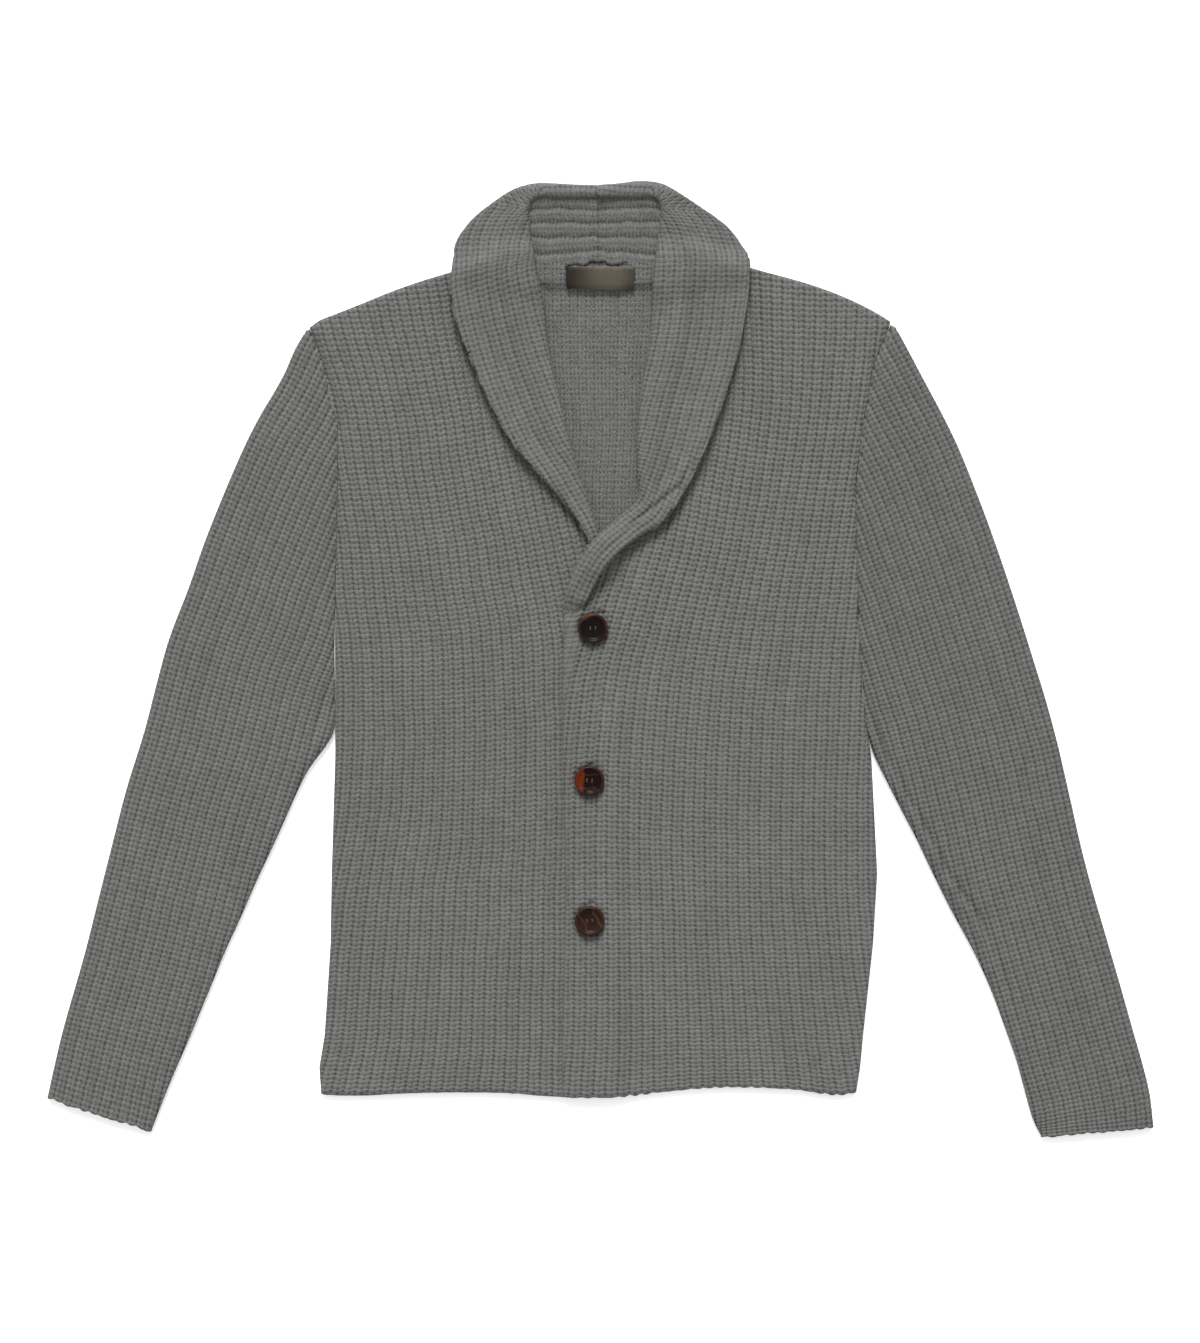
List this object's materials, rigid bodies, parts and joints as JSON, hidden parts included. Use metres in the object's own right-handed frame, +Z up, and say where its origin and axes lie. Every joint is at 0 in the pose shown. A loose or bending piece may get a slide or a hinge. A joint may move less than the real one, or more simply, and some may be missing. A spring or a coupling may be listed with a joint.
{
  "type": "knit blazer",
  "caption": "Shawl-collar cardigan blazer in chunky half-cardigan rib knit, buttoned down the front and laid flat with its collar turned over.",
  "frame": {"origin": "centre of the bounding box, on the surface that the garment lies on", "axes": "+Z up out of the garment's front, +Y towards the collar, +X towards the wearer's left sleeve"},
  "size_m": [0.9384, 0.8125, 0.022],
  "materials": {
    "knit": "chunky half-cardigan rib knit in mid grey wool, matt and slightly hairy",
    "horn": "dark brown horn look with a satin gloss",
    "satin": "dark bronze woven satin ribbon, left bare"
  },
  "bodies": {
    "root": {"back": "knit", "front_right": "knit", "front_left": "knit", "sleeve_right": "knit", "sleeve_left": "knit", "collar_right": "knit", "collar_left": "knit", "neck_label": "satin", "button_top": "horn", "button_middle": "horn", "button_bottom": "horn"}
  },
  "joints": []
}
